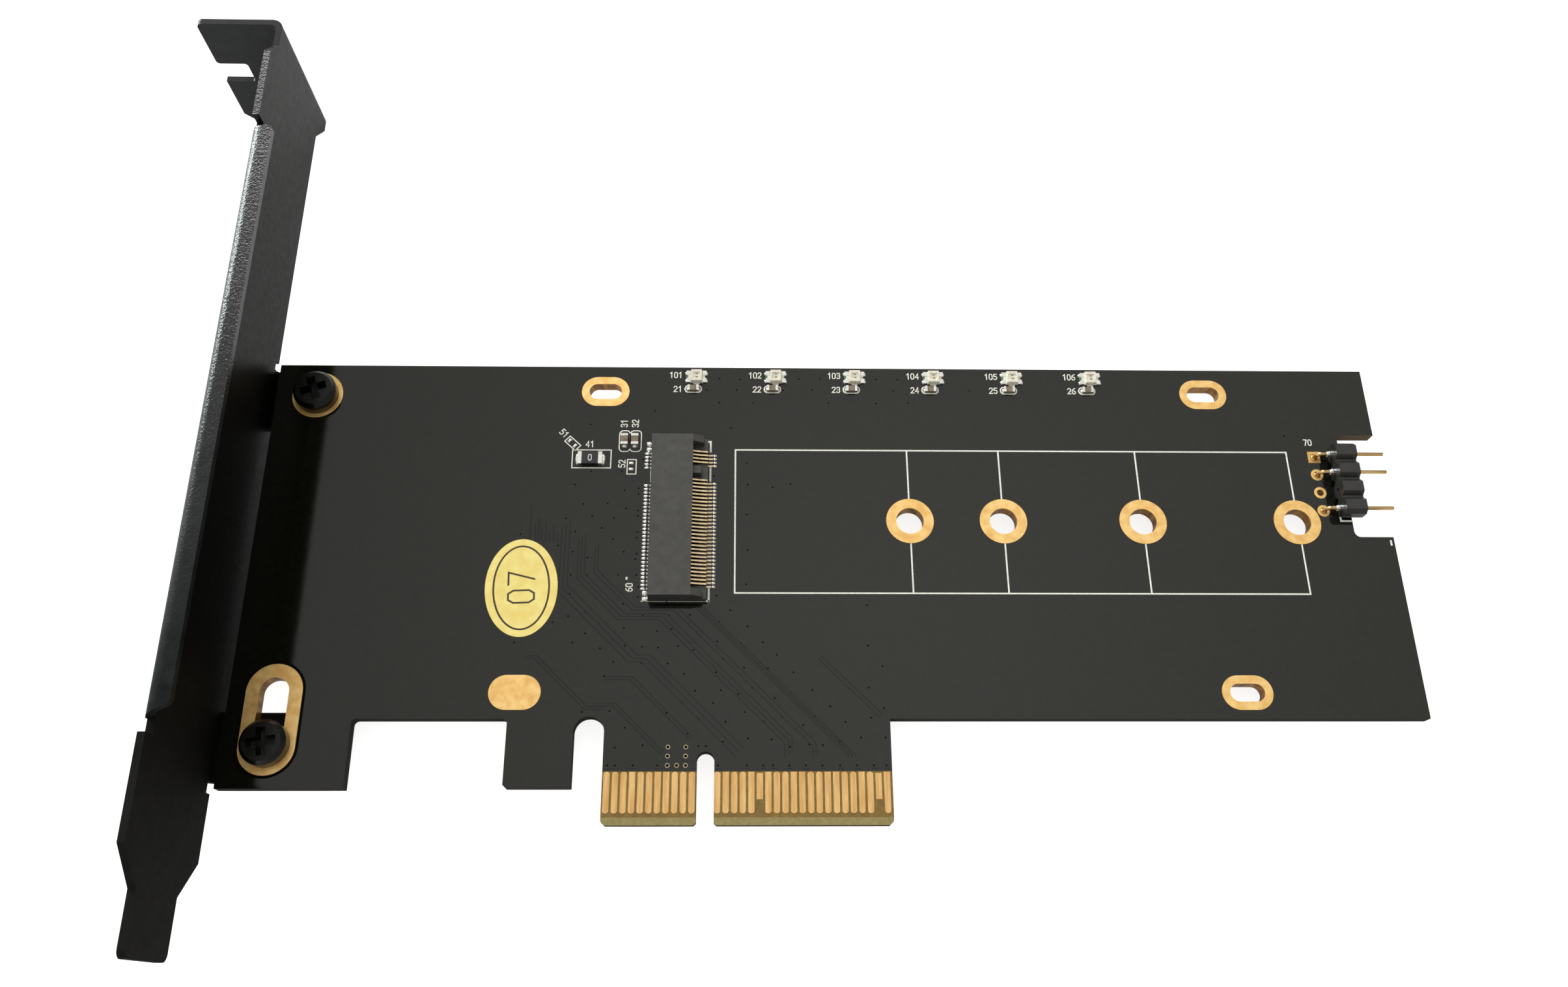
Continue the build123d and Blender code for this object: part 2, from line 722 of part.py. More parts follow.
# Header pins: up through the pad, round a bend, and through a collar and the body
def header_pin(y, number):
    """Round wire, drawn many-sided, bent in its own plane."""
    with BuildPart() as pin:
        with BuildLine(Plane.XZ.offset(-y)) as wire:
            rise = Line((header_pad_x, board_bottom - pin_tail), (header_pad_x, pin_height - pin_bend))
            bend = TangentArc(rise @ 1, (header_pad_x + pin_bend, pin_height), tangent=rise % 1)
            Line(bend @ 1, (pin_tip, pin_height))
        with BuildSketch(Plane.XY.offset(board_bottom - pin_tail)):
            with Locations((header_pad_x, y)):
                RegularPolygon(pin_radius, pin_sides)
        sweep(path=wire.line)
        with BuildSketch(Plane.YZ.offset(body_left - collar_length)):
            with Locations((y, pin_height)):
                RegularPolygon(collar_radius, pin_sides)
        extrude(amount=collar_length)
    save(pin.part, f"header_pin_{number}")


for place in pinned_places:
    header_pin(header_ys[place], place + 1)

# Solder cones round the tails, under the board
with BuildPart() as header_solder:
    for place in pinned_places:
        with BuildSketch(Plane.XY.offset(board_bottom - plating)):
            with Locations((header_pad_x, header_ys[place])):
                RegularPolygon(header_pad_size / 2 - solder_margin, pin_sides)
        extrude(amount=-solder_height, taper=solder_taper)
        with BuildSketch(Plane.XY.offset(board_bottom - plating - solder_height)):
            with Locations((header_pad_x, header_ys[place])):
                RegularPolygon(pin_radius, pin_sides)
        extrude(amount=solder_height, mode=Mode.SUBTRACT)
save(header_solder.part, "header_solder")

# Bare pads and the label
with BuildPart() as resistor_pads:
    with BuildSketch(Plane.XY.offset(board_top)):
        with Locations(*[Location(place, diagonal_turn) for place in diagonal_pads]):
            Rectangle(small_pad_length, small_pad_width)
        with Locations(*upright_pads):
            Rectangle(small_pad_length, small_pad_width)
    extrude(amount=plating)
save(resistor_pads.part, "empty_resistor_pads")

with BuildPart() as sticker:
    with BuildSketch(Plane.XY.offset(board_top)):
        with Locations(Location(sticker_centre, sticker_turn)):
            Ellipse(sticker_width / 2, sticker_height / 2)
    extrude(amount=sticker_thickness)
save(sticker.part, "inspection_sticker")
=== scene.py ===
"""Looks for the M.2 adapter card: finishes, printed lines, tracks and vias, floor and light."""

import json
import math

import bpy
from mathutils import Matrix, Vector


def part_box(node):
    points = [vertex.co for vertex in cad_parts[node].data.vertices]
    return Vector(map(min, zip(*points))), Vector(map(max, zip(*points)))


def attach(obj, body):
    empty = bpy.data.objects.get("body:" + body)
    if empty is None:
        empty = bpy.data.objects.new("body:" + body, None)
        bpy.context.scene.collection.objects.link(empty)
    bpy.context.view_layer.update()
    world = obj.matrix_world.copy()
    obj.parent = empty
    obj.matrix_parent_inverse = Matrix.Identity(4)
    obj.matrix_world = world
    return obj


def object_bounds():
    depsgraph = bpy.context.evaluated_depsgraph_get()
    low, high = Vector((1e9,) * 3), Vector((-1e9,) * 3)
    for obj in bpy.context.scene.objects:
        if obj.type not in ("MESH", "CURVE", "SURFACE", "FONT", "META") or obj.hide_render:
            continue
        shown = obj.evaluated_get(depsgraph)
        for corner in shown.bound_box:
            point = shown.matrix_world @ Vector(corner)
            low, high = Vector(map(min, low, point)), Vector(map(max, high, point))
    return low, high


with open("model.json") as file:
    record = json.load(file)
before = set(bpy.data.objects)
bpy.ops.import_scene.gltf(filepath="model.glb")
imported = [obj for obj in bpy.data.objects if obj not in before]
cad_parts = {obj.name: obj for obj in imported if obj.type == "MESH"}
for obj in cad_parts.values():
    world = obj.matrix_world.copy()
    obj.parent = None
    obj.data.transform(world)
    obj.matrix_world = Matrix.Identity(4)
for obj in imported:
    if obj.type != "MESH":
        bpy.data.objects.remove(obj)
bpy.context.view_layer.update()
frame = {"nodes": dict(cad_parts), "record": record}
MM = 0.001
MICRONS = 1e6

# Sizes on the board, in millimetres, in the frame of the CAD
BOARD_LOW, BOARD_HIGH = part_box("pcb")
FACE = BOARD_HIGH[2] / MM
LEFT = BOARD_LOW[0] / MM
TOP = BOARD_HIGH[1] / MM
TONGUE_LEFT = -12.1
TONGUE_RIGHT = 22.2
MASK_EDGE = 6.2
BEVEL_EDGE = 0.85
DRIVE_CENTRE = 38.1
DRIVE_HOLES = (25.75, 37.75, 55.75, 75.75)
SCREW_X = LEFT + 5.4
TOP_SCREW_Y = TOP - 4.45
LONG_SLOT_Y = 12.47
SINK_SLOTS = ((-13.85, TOP - 3.7), (65.95, TOP - 3.7), (65.95, 15.7))
SINK_RING = (6.3, 4.3)
SOLID_PAD = (-23.0, 15.7)
SOCKET_BACK = -7.3
SOCKET_TAILS = 0.45
SOCKET_PITCH = 0.5
LED_XS = [-1.85 + 10.55 * k for k in range(6)]
LED_Y = 58.65
CAPACITOR_XS = [-2.27 + 10.53 * k for k in range(6)]
CAPACITOR_Y = 56.85
LINK = (-15.42, 46.6)
LABEL = (-23.1, 29.0)
LABEL_TURN = 2.5
HEADER_X = 79.43
HEADER_Y = 43.49
PIN_PITCH = 2.54
PINNED = (1.5, 0.5, -1.5)
COLLAR = (80.6, 81.4)

# Ink and covers on the CAD's faces
INK = 0.02
INK_WIDTH = 0.2
COVER_LIFT = 0.053
COVER_INSET = 0.08
COAT = 0.000015


def strokes(name, lines, width, height, base=FACE, ends=True):
    """A mesh of flat raised strokes. Each line is a list of (x, y) points in millimetres."""
    verts, faces = [], []
    for line in lines:
        points = [Vector(p) for p in line]
        closed = (points[0] - points[-1]).length < 1e-6
        if closed:
            points.pop()
        count = len(points)
        start = len(verts)
        for i, point in enumerate(points):
            before = points[i - 1] if i or closed else None
            after = points[(i + 1) % count] if i < count - 1 or closed else None
            into = (point - before).normalized() if before is not None else None
            out = (after - point).normalized() if after is not None else None
            into = into if into is not None else out
            out = out if out is not None else into
            along = (into + out).normalized()
            side = Vector((-along.y, along.x))
            reach = width / 2 / max(0.4, side.dot(Vector((-into.y, into.x))))
            shift = Vector((0, 0))
            if ends and not closed and before is None:
                shift = -out * width / 2
            elif ends and not closed and after is None:
                shift = into * width / 2
            for z, taper in ((base, 1), (base + height, 0.8)):
                for sign in (1, -1):
                    place = point + shift + side * reach * sign * taper
                    verts.append((place.x * MM, place.y * MM, z * MM))
        spans = count if closed else count - 1
        for i in range(spans):
            a = start + 4 * i
            b = start + 4 * ((i + 1) % count)
            faces += [(a + 2, b + 2, b + 3, a + 3), (a, b, b + 2, a + 2), (a + 3, b + 3, b + 1, a + 1)]
        if not closed:
            a = start
            b = start + 4 * (count - 1)
            faces += [(a, a + 2, a + 3, a + 1), (b, b + 1, b + 3, b + 2)]
    return piece(name, verts, faces)


def discs(name, centres, rings, sides=10):
    """Round spots. Rings are (radius, height) pairs from the rim to the middle, in millimetres."""
    verts, faces = [], []
    for x, y in centres:
        start = len(verts)
        for radius, height in rings:
            for k in range(sides):
                turn = 2 * math.pi * k / sides
                verts.append(((x + radius * math.cos(turn)) * MM,
                              (y + radius * math.sin(turn)) * MM, (FACE + height) * MM))
        for level in range(len(rings) - 1):
            for k in range(sides):
                a = start + level * sides + k
                b = start + level * sides + (k + 1) % sides
                faces.append((a, b, b + sides, a + sides))
        last = start + (len(rings) - 1) * sides
        faces.append(tuple(range(last, last + sides)))
    return piece(name, verts, faces)


def slot_outline(length, width, turn=0.0, steps=20):
    """Points of a round-ended slot about its centre, or of a circle where width is length."""
    reach = (length - width) / 2
    spin = Matrix.Rotation(math.radians(turn), 2)
    points = []
    for side, first in ((1, -90), (-1, 90)):
        for k in range(steps + (1 if reach else 0)):
            angle = math.radians(first + 180 * k / steps)
            local = Vector((side * reach + width / 2 * math.cos(angle),
                            width / 2 * math.sin(angle)))
            points.append(spin @ local)
    return points


def linings(name, holes):
    """Holes with a ring on each face and a plated wall between. Sizes are (length, width)."""
    verts, faces = [], []
    for (x, y), hole, ring, turn in holes:
        inner = (hole[0] - COVER_INSET, hole[1] - COVER_INSET)
        high = FACE + COVER_LIFT
        loops = []
        for (length, width), z in ((ring, FACE), (ring, high), (inner, high),
                                   (inner, -high), (ring, -high), (ring, -FACE)):
            loop = []
            for point in slot_outline(length, width, turn):
                loop.append(len(verts))
                verts.append(((x + point.x) * MM, (y + point.y) * MM, z * MM))
            loops.append(loop)
        for loop, following in zip(loops, loops[1:]):
            count = len(loop)
            for k in range(count):
                n = (k + 1) % count
                faces.append((loop[k], loop[n], following[n], following[k]))
    obj = smooth(piece(name, verts, faces))
    obj.modifiers.new("crisp", "EDGE_SPLIT").split_angle = math.radians(40)
    return obj


def skin(name, node, covers, lift):
    """A thin coat over those faces of a CAD node whose corners all pass the test, in metres."""
    mesh = frame["nodes"][node].data
    corners, normals, faces = {}, [], []
    for polygon in mesh.polygons:
        spots = [mesh.vertices[i].co for i in polygon.vertices]
        if not all(covers(spot) for spot in spots):
            continue
        face = []
        for spot in spots:
            place = tuple(round(value * MICRONS) for value in spot)
            if place not in corners:
                corners[place] = len(corners)
                normals.append(Vector())
            normals[corners[place]] += polygon.normal * polygon.area
            face.append(corners[place])
        faces.append(tuple(face))
    verts = [Vector(place) / MICRONS + normal.normalized() * lift
             for place, normal in zip(corners, normals)]
    return piece(name, verts, faces)


def domes(name, spots, base=FACE, around=10, levels=3):
    """Low rounded beads. Each spot is (x, y, half length, half width, height, turn)."""
    verts, faces = [], []
    for x, y, half_x, half_y, height, turn in spots:
        spin = Matrix.Rotation(math.radians(turn), 2)
        start = len(verts)
        for level in range(levels):
            lift = math.radians(90 * level / levels)
            for k in range(around):
                angle = 2 * math.pi * k / around
                local = spin @ Vector((half_x * math.cos(lift) * math.cos(angle),
                                       half_y * math.cos(lift) * math.sin(angle)))
                verts.append(((x + local.x) * MM, (y + local.y) * MM,
                              (base + height * math.sin(lift)) * MM))
        verts.append((x * MM, y * MM, (base + height) * MM))
        for level in range(levels - 1):
            for k in range(around):
                a = start + level * around + k
                b = start + level * around + (k + 1) % around
                faces.append((a, b, b + around, a + around))
        last = start + (levels - 1) * around
        for k in range(around):
            faces.append((last + k, last + (k + 1) % around, len(verts) - 1))
    return smooth(piece(name, verts, faces))


def smooth(obj):
    """Shade every face of an object smoothly."""
    obj.data.polygons.foreach_set("use_smooth", [True] * len(obj.data.polygons))
    return obj


def piece(name, verts, faces):
    """A mesh object that rides on the card."""
    mesh = bpy.data.meshes.new(name)
    mesh.from_pydata(verts, [], faces)
    mesh.update()
    obj = bpy.data.objects.new(name, mesh)
    bpy.context.scene.collection.objects.link(obj)
    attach(obj, "root")
    return obj


# Plain numbers as single strokes on a grid one unit wide and two high
DIGITS = {
    "0": [[(0.25, 0), (0.75, 0), (1, 0.4), (1, 1.6), (0.75, 2), (0.25, 2), (0, 1.6), (0, 0.4),
           (0.25, 0)]],
    "1": [[(0.15, 1.6), (0.6, 2), (0.6, 0)]],
    "2": [[(0, 1.6), (0.25, 2), (0.75, 2), (1, 1.65), (1, 1.3), (0, 0), (1, 0)]],
    "3": [[(0, 1.7), (0.25, 2), (0.75, 2), (1, 1.7), (1, 1.35), (0.7, 1.05), (0.35, 1.05)],
          [(0.7, 1.05), (1, 0.75), (1, 0.35), (0.75, 0), (0.25, 0), (0, 0.3)]],
    "4": [[(0.8, 0), (0.8, 2), (0, 0.6), (1, 0.6)]],
    "5": [[(0.95, 2), (0.1, 2), (0.05, 1.15), (0.7, 1.2), (1, 0.9), (1, 0.35), (0.7, 0), (0.2, 0),
           (0, 0.25)]],
    "6": [[(0.9, 2), (0.35, 1.8), (0, 1.1), (0, 0.35), (0.25, 0), (0.75, 0), (1, 0.35), (1, 0.75),
           (0.75, 1.1), (0.25, 1.1), (0, 0.8)]],
    "7": [[(0, 2), (1, 2), (0.4, 0)]],
    "8": [[(0.25, 1.05), (0, 1.3), (0, 1.75), (0.25, 2), (0.75, 2), (1, 1.75), (1, 1.3), (0.75, 1.05),
           (0.25, 1.05), (0, 0.75), (0, 0.3), (0.25, 0), (0.75, 0), (1, 0.3), (1, 0.75), (0.75, 1.05)]],
    "9": [[(1, 1.2), (0.75, 0.9), (0.25, 0.9), (0, 1.25), (0, 1.65), (0.25, 2), (0.75, 2), (1, 1.65),
           (1, 0.9), (0.65, 0.2), (0.1, 0)]],
}


def number_lines(text, centre, height, turn=0.0):
    """The strokes of a plain number, centred on a point and turned in degrees."""
    unit = height / 2
    pitch = unit * 1.5
    spin = Matrix.Rotation(math.radians(turn), 2)
    width = pitch * (len(text) - 1) + unit
    lines = []
    for place, digit in enumerate(text):
        for stroke in DIGITS[digit]:
            line = []
            for u, v in stroke:
                local = Vector((u * unit + place * pitch - width / 2, v * unit - height / 2))
                line.append(tuple(spin @ local + Vector(centre)))
            lines.append(line)
    return lines


def oval_line(centre, half_x, half_y, turn=0.0, points=48):
    """A closed oval."""
    spin = Matrix.Rotation(math.radians(turn), 2)
    line = []
    for k in range(points + 1):
        angle = 2 * math.pi * (k % points) / points
        local = Vector((half_x * math.cos(angle), half_y * math.sin(angle)))
        line.append(tuple(spin @ local + Vector(centre)))
    return line


def box_line(x0, x1, y0, y1):
    """A closed rectangle."""
    return [(x0, y0), (x1, y0), (x1, y1), (x0, y1), (x0, y0)]


def pill_line(x0, x1, y0, y1, radius, steps=6):
    """A closed rectangle with round corners."""
    line = []
    for cx, cy, start in ((x1 - radius, y1 - radius, 0), (x0 + radius, y1 - radius, 90),
                          (x0 + radius, y0 + radius, 180), (x1 - radius, y0 + radius, 270)):
        for k in range(steps + 1):
            angle = math.radians(start + 90 * k / steps)
            line.append((cx + radius * math.cos(angle), cy + radius * math.sin(angle)))
    return line + [line[0]]


# Printed lines
DIGIT_HEIGHT = 0.8


def drive_outline():
    """The box round the drive's place, and a line through each standoff hole."""
    low, high, ring_low, ring_high = 28.35, 48.0, 35.1, 41.2
    left, right = 3.4, 75.85
    lines = [[(right, ring_high), (right, high), (left, high), (left, low), (right, low),
              (right, ring_low)]]
    for x in DRIVE_HOLES[:-1]:
        lines += [[(x, low + INK_WIDTH), (x, ring_low)], [(x, ring_high), (x, high - INK_WIDTH)]]
    return lines


def socket_marks():
    """Lines round the M.2 socket, broken where its contacts are."""
    front = 0.17
    return [[(front, 45.45), (front, 43.6)], [(front, 27.35), (front, 28.85)],
            [(front, 47.75), (front, 49.15), (-0.2, 49.15)],
            [(front, 27.3), (-4.8, 27.3)], [(-5.25, 27.3), (-8.1, 27.3)], [(-7.45, 43.5), (-7.45, 45.1)],
            [(-10.1, 30.2), (-10.1, 30.3)]]


def chip_marks():
    """Outlines round the chips beside the socket."""
    mid = -10.35
    lines = [pill_line(-11.75, mid, 47.7, 50.7, 0.5), pill_line(mid, -8.9, 47.7, 50.7, 0.5),
             box_line(-17.75, -12.75, 45.35, 47.9), box_line(-10.6, -9.45, 44.5, 46.55)]
    spin = Matrix.Rotation(math.radians(-43), 2)
    corners = [(-0.98, -0.5), (0.98, -0.5), (0.98, 0.5), (-0.98, 0.5), (-0.98, -0.5)]
    lines.append([tuple(spin @ Vector(c) + Vector((-17.8, 48.85))) for c in corners])
    return lines


def capacitor_marks():
    """A rounded outline round each small capacitor under the LEDs, and a dash under each LED."""
    lines = [pill_line(x - 1.08, x + 1.08, 56.42, 57.42, 0.48) for x in CAPACITOR_XS]
    return lines + [[(x - 0.32, 57.72), (x + 0.32, 57.72)] for x in LED_XS]


def header_marks():
    """A corner beside the pin header and a dash at the board's right edge."""
    return [[(81.5, 38.75), (81.5, 38.3), (82.85, 38.3)], [(87.45, 35.05), (87.45, 35.55)]]


def labels():
    """Plain numbers beside the parts."""
    lines = []
    for k in range(len(LED_XS)):
        lines += number_lines(str(101 + k), (LED_XS[k] - 2.75, 59.0), DIGIT_HEIGHT)
        lines += number_lines(str(21 + k), (CAPACITOR_XS[k] - 2.05, 56.9), DIGIT_HEIGHT)
    for text, centre, turn in (("31", (-11.2, 51.75), 90), ("32", (-9.75, 51.75), 90),
                               ("41", (-15.57, 48.75), 0), ("51", (-19.0, 50.3), -43),
                               ("52", (-11.3, 45.95), 90), ("60", (-9.75, 29.05), 90),
                               ("70", (78.95, 49.45), 0)):
        lines += number_lines(text, centre, DIGIT_HEIGHT, turn)
    return lines


def bundle(path, count, step):
    """Copies of a line, each shifted by the step."""
    return [[(x + step[0] * k, y + step[1] * k) for x, y in path] for k in range(count)]


def track_lines():
    """Raised lines of mask over the copper between the socket and the edge contacts."""
    lines = []
    lines += bundle([(-18.5, 37.0), (-18.5, 28.5), (-9.5, 19.5), (-7.9, 19.5), (3.6, 8.0)], 3, (0.5, 0.45))
    lines += bundle([(-16.3, 35.5), (-16.3, 30.2), (-11.0, 24.9), (-5.9, 24.9), (9.5, 9.5),
                     (9.5, 7.8)], 3, (0.42, 0.38))
    lines += bundle([(-14.2, 34.5), (-14.2, 31.0), (-12.3, 29.1), (-9.3, 26.1), (-4.1, 26.1),
                     (12.8, 9.2), (12.8, 7.8)], 2, (0.4, 0.4))
    lines += bundle([(-7.0, 26.8), (-1.7, 26.8), (17.0, 8.1), (17.0, 7.8)], 3, (0.45, 0.0))
    lines += bundle([(-12.4, 17.3), (-9.2, 17.3), (-1.9, 10.0)], 2, (0.3, 0.35))
    for x, high in ((-22.6, 40.3), (-21.9, 37.6), (-21.5, 38.4), (-21.1, 37.2), (-20.6, 37.9),
                    (-20.1, 36.6), (-19.6, 37.5), (-19.1, 36.3)):
        lines.append([(x, high), (x + 0.1, 35.2)])
    lines += bundle([(-22.0, 20.0), (-21.0, 20.0), (-14.5, 13.6), (-12.5, 13.6)], 2, (0.35, 0.3))
    lines += bundle([(-14.0, 14.1), (-11.2, 14.1), (-5.3, 8.2)], 2, (0.3, 0.35))
    lines += bundle([(13.6, 20.0), (21.0, 12.6)], 2, (0.35, 0.35))
    lines += [[(x - 0.3, CONTACT_DASH_Y), (x + 0.45, CONTACT_DASH_Y)] for x in CONTACT_VIAS]
    return lines


# Spots where a via lies under the mask
COVERED_VIAS = (
    (-17.1, 28.2), (-10.4, 26.9), (-15.0, 25.9), (-17.1, 25.3), (-19.0, 24.5), (-7.9, 25.4), (-4.7, 25.4),
    (-2.1, 25.5), (1.15, 28.0), (2.9, 26.1), (1.5, 24.6), (-13.3, 24.3), (-10.2, 23.8), (-14.9, 23.1),
    (-6.1, 23.4), (-4.3, 23.7), (-1.3, 23.3), (-16.4, 21.9), (-11.4, 22.3), (-13.0, 21.2), (-10.0, 21.5),
    (-7.9, 21.4), (-5.9, 21.3), (-3.5, 21.5), (1.3, 22.1), (4.2, 21.9), (6.9, 22.0), (5.0, 24.0),
    (-1.6, 21.0), (2.0, 19.9), (-11.3, 19.5), (-7.9, 19.4), (-4.7, 19.3), (-2.7, 18.0), (1.2, 18.2),
    (4.6, 18.8), (7.5, 18.7), (8.6, 20.4), (10.6, 18.2), (-12.3, 17.7), (-8.9, 17.6), (-6.7, 15.5),
    (-1.3, 15.9), (1.8, 16.0), (3.9, 15.5), (5.6, 16.3), (-2.9, 14.5), (0.9, 14.4), (-4.7, 13.2),
    (-0.8, 12.4), (2.4, 12.1), (4.7, 13.3), (8.3, 15.0), (12.9, 16.0), (-14.8, 13.3), (-11.5, 13.4),
    (-9.6, 11.4), (-10.7, 9.0), (-7.4, 9.3), (-2.1, 10.7), (-0.8, 9.2), (0.1, 9.2), (2.1, 9.7),
    (5.1, 10.1), (7.0, 12.1), (9.2, 12.7), (7.9, 10.0), (10.1, 9.1), (12.4, 9.4), (14.0, 9.3),
    (11.7, 11.7), (13.1, 12.8), (16.1, 9.8), (16.8, 12.1), (18.6, 10.2), (19.9, 12.6), (21.5, 13.8),
    (21.5, 10.2), (19.8, 21.6), (21.5, 19.0), (19.7, 16.3), (15.0, 14.0), (19.9, 26.8), (-17.2, 43.0),
    (-10.8, 42.2), (-9.0, 42.5), (-9.0, 41.7), (-16.0, 40.3), (-12.9, 40.4), (-10.5, 39.7), (-9.0, 39.4),
    (-9.0, 38.7), (-18.1, 38.3), (-14.8, 38.6), (-12.0, 38.4), (-13.5, 37.0), (-16.8, 36.5), (-9.0, 36.5),
    (-9.0, 35.7), (-23.7, 36.1), (-12.0, 35.5), (-18.9, 34.6), (-17.0, 33.8), (-15.1, 33.0), (-10.6, 33.8),
    (-9.0, 33.5), (-9.1, 32.8), (-17.1, 30.7), (-15.1, 30.7), (-13.1, 30.7), (-11.2, 30.7), (-8.9, 30.7),
    (-8.6, 29.1), (-8.6, 27.8), (-23.5, 21.9), (-7.2, 53.6), (1.2, 54.9), (1.2, 58.5), (4.0, 58.4),
    (-0.5, 56.8), (3.5, 56.8), (5.7, 54.9), (2.8, 51.2), (11.8, 58.5), (14.6, 58.5), (9.7, 56.8),
    (13.5, 56.9), (15.7, 54.9), (22.0, 54.9), (22.1, 58.5), (25.0, 58.5), (24.4, 56.8), (26.3, 55.0),
    (34.6, 56.9), (0.6, 44.3), (4.9, 46.15), (5.0, 43.1), (4.9, 38.9), (5.0, 34.1), (4.85, 29.5),
    (-8.55, 46.6), (-11.3, 44.9), (10.5, 43.2), (8.2, 42.7), (-15.2, 44.9), (-15.6, 51.6), (76.0, 50.4),
    (10.3, 15.7))
CONTACT_VIAS_Y = 6.9
CONTACT_DASH_Y = 6.55
CONTACT_VIAS = (-11.5, -10.6, -8.5, -5.6, 1.55, 4.95, 6.9, 8.05, 10.0, 11.95, 13.9, 16.0, 18.0, 20.0,
                21.5)
OPEN_VIAS = ((-4.4, 9.08), (-2.28, 9.08), (-4.42, 8.0), (-2.28, 8.0), (-4.42, 6.9), (-3.33, 6.9),
             (-2.28, 6.9))


def srgb(r, g, b):
    """A colour given as it looks on a screen, from 0 to 255, as linear light."""
    light = [((v / 255 + 0.055) / 1.055) ** 2.4 if v > 10 else v / 255 / 12.92 for v in (r, g, b)]
    return (*light, 1.0)


class Finish:
    """A material with one surface shader and short calls for the nodes in front of it."""

    def __init__(self, name, colour, roughness, metallic=0.0, **sockets):
        self.material = bpy.data.materials.new(name)
        self.material.use_nodes = True
        self.tree = self.material.node_tree
        self.shader = self.tree.nodes["Principled BSDF"]
        self.shader.inputs["Base Color"].default_value = colour
        self.shader.inputs["Roughness"].default_value = roughness
        self.shader.inputs["Metallic"].default_value = metallic
        for label, value in sockets.items():
            self.shader.inputs[label.replace("_", " ")].default_value = value

    def node(self, kind, **settings):
        """A new node of that kind."""
        made = self.tree.nodes.new("ShaderNode" + kind)
        for key, value in settings.items():
            setattr(made, key, value)
        return made

    def join(self, source, target):
        self.tree.links.new(source, target)

    def place(self, scale=(1, 1, 1)):
        """The point on the object, in metres, stretched by the scale."""
        here = self.node("TexCoord")
        stretch = self.node("Mapping")
        stretch.inputs["Scale"].default_value = scale
        self.join(here.outputs["Object"], stretch.inputs["Vector"])
        return stretch.outputs["Vector"]

    def noise(self, scale, detail=2.0, stretch=(1, 1, 1), roughness=0.5):
        """Noise with that many bumps to the metre."""
        made = self.node("TexNoise")
        made.inputs["Scale"].default_value = scale
        made.inputs["Detail"].default_value = detail
        made.inputs["Roughness"].default_value = roughness
        self.join(self.place(stretch), made.inputs["Vector"])
        return made.outputs["Fac"]

    def spread(self, value, low, high, into=(0.0, 1.0)):
        """The value's stretch from low to high, mapped to another range."""
        made = self.node("MapRange")
        made.inputs["From Min"].default_value = low
        made.inputs["From Max"].default_value = high
        made.inputs["To Min"].default_value = into[0]
        made.inputs["To Max"].default_value = into[1]
        self.join(value, made.inputs["Value"])
        return made.outputs["Result"]

    def maths(self, operation, a, b=None):
        """A Math node on one or two values, each a number or another node's output."""
        made = self.node("Math", operation=operation)
        for socket, value in zip(made.inputs, (a, b)):
            if value is None:
                continue
            if isinstance(value, (int, float)):
                socket.default_value = value
            else:
                self.join(value, socket)
        return made.outputs["Value"]

    def mix(self, factor, a, b):
        """One colour where the factor is 0, the other where it is 1."""
        made = self.node("Mix", data_type="RGBA")
        self.join(factor, made.inputs["Factor"])
        for socket, value in ((made.inputs["A"], a), (made.inputs["B"], b)):
            if isinstance(value, tuple):
                socket.default_value = value
            else:
                self.join(value, socket)
        return made.outputs["Result"]

    def mottle(self, noise, first, second, low=0.3, high=0.7):
        """Two screen colours, mixed by the noise."""
        return self.mix(self.spread(noise, low, high), srgb(*first), srgb(*second))

    def axis(self, which):
        """The point's X, Y or Z on the object, in metres."""
        parts = self.node("SeparateXYZ")
        self.join(self.place(), parts.inputs["Vector"])
        return parts.outputs[which]

    def facing(self, which):
        """How far the surface's own normal points along an axis, as a size from 0 to 1."""
        shape = self.node("NewGeometry")
        parts = self.node("SeparateXYZ")
        self.join(shape.outputs["True Normal"], parts.inputs["Vector"])
        return self.maths("ABSOLUTE", parts.outputs[which])

    def colour(self, value):
        self.join(value, self.shader.inputs["Base Color"])
        return self

    def rough(self, value):
        self.join(value, self.shader.inputs["Roughness"])
        return self

    def bump(self, value, strength, distance):
        made = self.node("Bump")
        made.inputs["Strength"].default_value = strength
        made.inputs["Distance"].default_value = distance
        self.join(value, made.inputs["Height"])
        self.join(made.outputs["Normal"], self.shader.inputs["Normal"])
        return self


def board_finish():
    """Glossy black mask, with bare laminate on the tongue's lower end and on every cut edge; the cut edges
    near the bottom are painted darker as shade.
    """
    f = Finish("solder_mask", srgb(22, 22, 19), 0.09)
    y = f.axis("Y")
    x = f.axis("X")
    across = f.maths("MULTIPLY", f.maths("GREATER_THAN", x, TONGUE_LEFT * MM),
                     f.maths("LESS_THAN", x, TONGUE_RIGHT * MM))
    bare = f.maths("MULTIPLY", f.maths("LESS_THAN", y, MASK_EDGE * MM), across)
    wall = f.maths("LESS_THAN", f.facing("Z"), 0.5)
    bevel = f.maths("MULTIPLY", f.maths("LESS_THAN", y, BEVEL_EDGE * MM), bare)
    grain = f.noise(1800, 3)
    mask = f.mottle(grain, (9, 9, 5), (17, 17, 11))
    laminate = f.mottle(f.noise(1400, 4), (114, 87, 28), (136, 109, 44))
    layers = f.noise(500, 4, (1, 1, 14))
    # painted shade: the laminate on the lowest cut edges is drawn much darker than on the edges higher up
    painted_shade_cut = f.mottle(layers, (18, 15, 11), (36, 29, 22))
    high_cut = f.mottle(layers, (78, 64, 50), (134, 116, 94))
    cut = f.mix(f.spread(y, 0.02, 0.04), painted_shade_cut, high_cut)
    pale = f.mottle(f.noise(2400, 3), (150, 136, 82), (172, 158, 104))
    colour = f.mix(bare, mask, laminate)
    colour = f.mix(bevel, colour, pale)
    f.colour(f.mix(wall, colour, cut))
    dull = f.maths("MAXIMUM", f.maths("MULTIPLY", bare, 0.45), wall)
    f.rough(f.spread(dull, 0, 1, (0.09, 1.0)))
    return f.bump(grain, 0.02, 0.0001)


